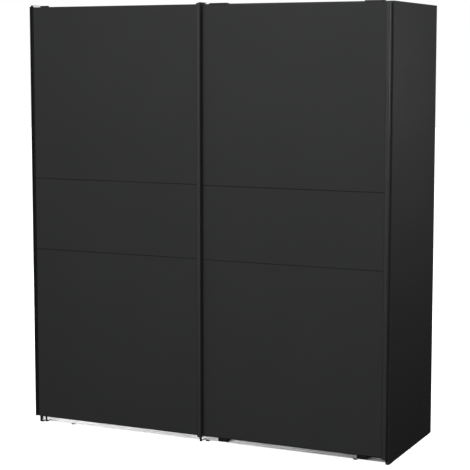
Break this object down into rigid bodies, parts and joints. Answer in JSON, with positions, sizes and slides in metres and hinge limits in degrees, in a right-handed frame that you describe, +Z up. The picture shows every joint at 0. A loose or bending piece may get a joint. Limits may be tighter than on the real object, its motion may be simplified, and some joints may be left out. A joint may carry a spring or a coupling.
{
  "type": "sliding door wardrobe",
  "caption": "Wide free-standing wardrobe with overlay sliding doors hung on rollers from a double top track, with shelves and a clothes rail inside.",
  "frame": {"origin": "floor point under the middle of the overall box, doors closed", "axes": "+Z up, -Y out of the front (the doors), +X to the right of someone facing the doors"},
  "size_m": [1.7, 0.6316, 1.9114],
  "materials": {
    "graphite_board": "matt melamine",
    "interior_board": "matt linen-embossed melamine",
    "back_sheet": "printed fibreboard",
    "light_plastic": "satin",
    "graphite_profile": "matt powder coat",
    "aluminium_rail": "satin anodised",
    "chromed_tube": "polished",
    "zinc_steel": "zinc plated",
    "black_steel": "satin black",
    "black_plastic": "matt",
    "roller_nylon": "satin",
    "rubber_stop": "matt",
    "brush_pile": "pile",
    "beech_dowel": "raw"
  },
  "bodies": {
    "carcass": {"left_side_panel": "graphite_board", "right_side_panel": "graphite_board", "centre_partition": "interior_board", "top_panel": "graphite_board", "bottom_panel": "interior_board", "back_panel_lower_left": "back_sheet", "back_panel_upper_left": "back_sheet", "back_panel_lower_right": "back_sheet", "back_panel_upper_right": "back_sheet", "back_joint_strips": "light_plastic", "back_panel_screws": "zinc_steel", "hat_shelf": "interior_board", "shelf_1": "interior_board", "shelf_2": "interior_board", "shelf_3": "interior_board", "shelf_pins": "zinc_steel", "clothes_rail": "chromed_tube", "clothes_rail_flanges": "chromed_tube", "top_track": "graphite_profile", "top_track_screws": "zinc_steel", "track_end_stops": "rubber_stop", "bottom_guide_rail": "aluminium_rail", "cam_locks": "zinc_steel", "cam_bolts": "zinc_steel", "dowels": "beech_dowel", "floor_glides": "black_plastic", "side_glides": "black_plastic", "wall_bracket_left": "zinc_steel", "wall_bracket_right": "zinc_steel", "wall_bracket_screws": "zinc_steel"},
    "door_left": {"left_door_lower_panel": "graphite_board", "left_door_middle_panel": "graphite_board", "left_door_upper_panel": "graphite_board", "left_door_joint_strips": "black_plastic", "left_door_left_handle": "graphite_profile", "left_door_right_handle": "graphite_profile", "left_door_left_hanger": "black_steel", "left_door_right_hanger": "black_steel", "left_door_roller_axles": "zinc_steel", "left_door_left_guide": "black_plastic", "left_door_right_guide": "black_plastic", "left_door_screws": "zinc_steel"},
    "door_right": {"right_door_lower_panel": "graphite_board", "right_door_middle_panel": "graphite_board", "right_door_upper_panel": "graphite_board", "right_door_joint_strips": "black_plastic", "right_door_right_handle": "graphite_profile", "right_door_edge_profile": "graphite_profile", "right_door_brush_seal": "brush_pile", "right_door_left_hanger": "black_steel", "right_door_right_hanger": "black_steel", "right_door_roller_axles": "zinc_steel", "right_door_left_guide": "black_plastic", "right_door_right_guide": "black_plastic", "right_door_screws": "zinc_steel"},
    "left_door_left_roller": {"left_door_left_roller": "roller_nylon"},
    "left_door_right_roller": {"left_door_right_roller": "roller_nylon"},
    "right_door_left_roller": {"right_door_left_roller": "roller_nylon"},
    "right_door_right_roller": {"right_door_right_roller": "roller_nylon"}
  },
  "joints": [
    {"name": "left_door_slide", "type": "slide", "parent": "carcass", "child": "door_left", "axis": [1, 0, 0], "range_m": [0, 0.825]},
    {"name": "right_door_slide", "type": "slide", "parent": "carcass", "child": "door_right", "axis": [1, 0, 0], "range_m": [-0.825, 0]},
    {"name": "left_door_left_roller_spin", "type": "hinge", "parent": "door_left", "child": "left_door_left_roller", "pos_m": [-0.811, -0.2188, 1.8828], "axis": [0, 1, 0], "range_deg": [0, 4985]},
    {"name": "left_door_right_roller_spin", "type": "hinge", "parent": "door_left", "child": "left_door_right_roller", "pos_m": [-0.026, -0.2188, 1.8828], "axis": [0, 1, 0], "range_deg": [0, 4985]},
    {"name": "right_door_left_roller_spin", "type": "hinge", "parent": "door_right", "child": "right_door_left_roller", "pos_m": [0.07, -0.2508, 1.8828], "axis": [0, 1, 0], "range_deg": [-4985, 0]},
    {"name": "right_door_right_roller_spin", "type": "hinge", "parent": "door_right", "child": "right_door_right_roller", "pos_m": [0.767, -0.2508, 1.8828], "axis": [0, 1, 0], "range_deg": [-4985, 0]}
  ],
  "couplings": [
    {"joint": "left_door_left_roller_spin", "follows": "left_door_slide", "rad_per_m": 105.26},
    {"joint": "left_door_right_roller_spin", "follows": "left_door_slide", "rad_per_m": 105.26},
    {"joint": "right_door_left_roller_spin", "follows": "right_door_slide", "rad_per_m": 105.26},
    {"joint": "right_door_right_roller_spin", "follows": "right_door_slide", "rad_per_m": 105.26}
  ]
}
